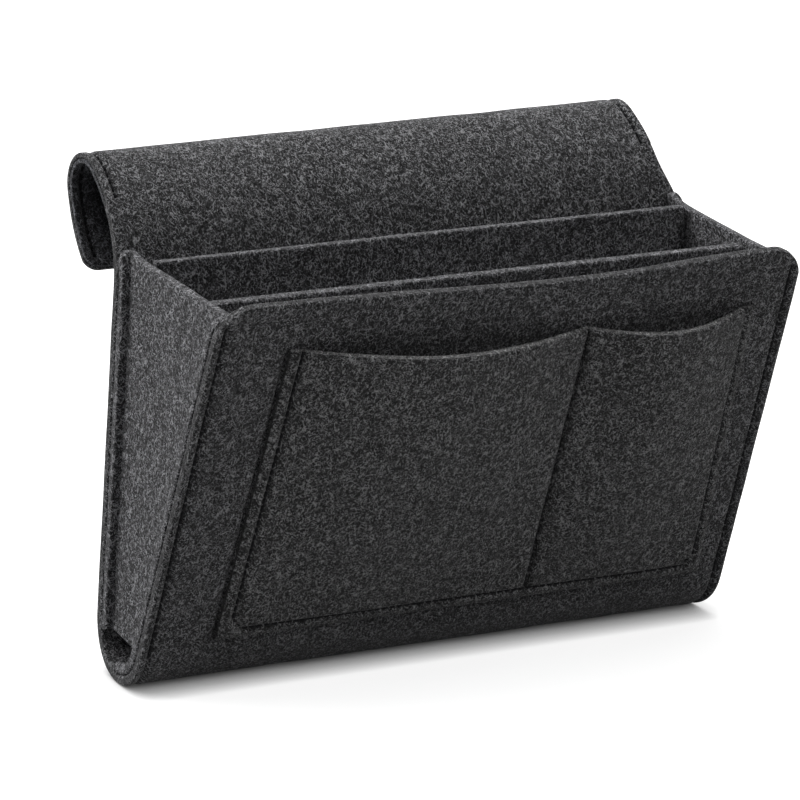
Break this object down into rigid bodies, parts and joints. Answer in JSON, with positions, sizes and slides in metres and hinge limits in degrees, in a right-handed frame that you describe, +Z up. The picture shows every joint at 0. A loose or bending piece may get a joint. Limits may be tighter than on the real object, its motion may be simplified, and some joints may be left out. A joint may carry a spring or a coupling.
{
  "type": "bedside caddy",
  "caption": "Felt bedside caddy: a slim box with a round bottom, dividers and front pockets, hung by a flap that folds over into a hook.",
  "frame": {"origin": "seat on the inside of the flap's crown, midway between the box's ends, where a rail would carry the caddy", "axes": "+X along the width, to the right seen from the front; +Y backward, toward the bed; +Z up"},
  "size_m": [0.27, 0.1395, 0.2067],
  "materials": {
    "wrap_felt": "charcoal wool-look felt, matt",
    "inner_felt": "charcoal wool-look felt, matt",
    "pocket_felt": "charcoal wool-look felt, matt",
    "thread": "dark grey sewing thread"
  },
  "bodies": {
    "flap": {"flap_outer_ply": "wrap_felt", "flap_lining_ply": "inner_felt", "left_flap_row_outside": "thread", "left_flap_row_inside": "thread", "right_flap_row_outside": "thread", "right_flap_row_inside": "thread"},
    "box": {"wrap": "wrap_felt", "left_gusset": "inner_felt", "right_gusset": "inner_felt", "rear_divider": "inner_felt", "front_divider": "inner_felt", "pocket_panel": "pocket_felt", "left_front_seam_outside": "thread", "left_front_seam_inside": "thread", "left_back_seam_outside": "thread", "left_back_seam_inside": "thread", "right_front_seam_outside": "thread", "right_front_seam_inside": "thread", "right_back_seam_outside": "thread", "right_back_seam_inside": "thread", "pocket_border_outside": "thread", "pocket_border_inside": "thread", "pocket_separator_outside": "thread", "pocket_separator_inside": "thread"},
    "leaf": {"leaf_outer_ply": "wrap_felt", "leaf_lining_ply": "inner_felt", "left_leaf_row_outside": "thread", "left_leaf_row_inside": "thread", "right_leaf_row_outside": "thread", "right_leaf_row_inside": "thread"}
  },
  "joints": [
    {"name": "back_fold", "type": "hinge", "parent": "flap", "child": "box", "pos_m": [0, -0.02688, -0.02442], "axis": [1, 0, 0], "range_deg": [-90, 40]},
    {"name": "leaf_fold", "type": "hinge", "parent": "flap", "child": "leaf", "pos_m": [0, 0.00724, -0.00031], "axis": [1, 0, 0], "range_deg": [-10, 90]}
  ]
}
